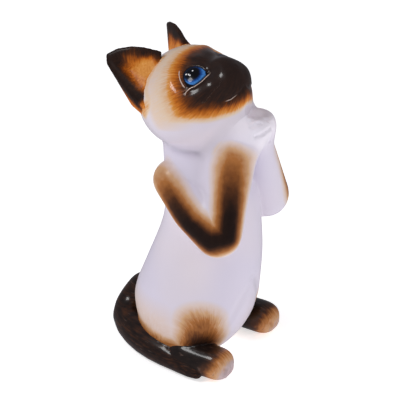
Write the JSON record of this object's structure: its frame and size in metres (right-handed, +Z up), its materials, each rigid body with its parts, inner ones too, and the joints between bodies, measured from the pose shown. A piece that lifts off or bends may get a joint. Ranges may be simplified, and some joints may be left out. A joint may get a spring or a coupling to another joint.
{
  "type": "cat figurine",
  "caption": "Sitting point-coated cat figurine in glazed ceramic that looks up with clasped forepaws; its tail wraps round its side. A static shelf ornament.",
  "frame": {"origin": "on the flat base, on the middle plane, just ahead of the centre of the base", "axes": "+Z up along the figurine's height, -Y towards the cat's front, +X towards the cat's left"},
  "size_m": [0.0779, 0.0964, 0.1881],
  "materials": {
    "body_glaze": "gloss, white over peach shading",
    "face_glaze": "gloss, airbrushed brown mask on white",
    "ear_glaze": "gloss, dark brown rim and tan inside",
    "eye_glaze": "high gloss, painted blue iris and black pupil",
    "arm_glaze": "gloss, airbrushed brown on white",
    "foot_glaze": "gloss, dark brown with paler toes",
    "tail_glaze": "gloss, near-black brown with fine scratched hair lines"
  },
  "bodies": {
    "root": {"torso": "body_glaze", "head": "face_glaze", "right_ear": "ear_glaze", "left_ear": "ear_glaze", "right_eye": "eye_glaze", "left_eye": "eye_glaze", "right_arm": "arm_glaze", "left_arm": "arm_glaze", "right_paw": "body_glaze", "left_paw": "body_glaze", "right_foot": "foot_glaze", "left_foot": "foot_glaze", "tail": "tail_glaze"}
  },
  "joints": []
}
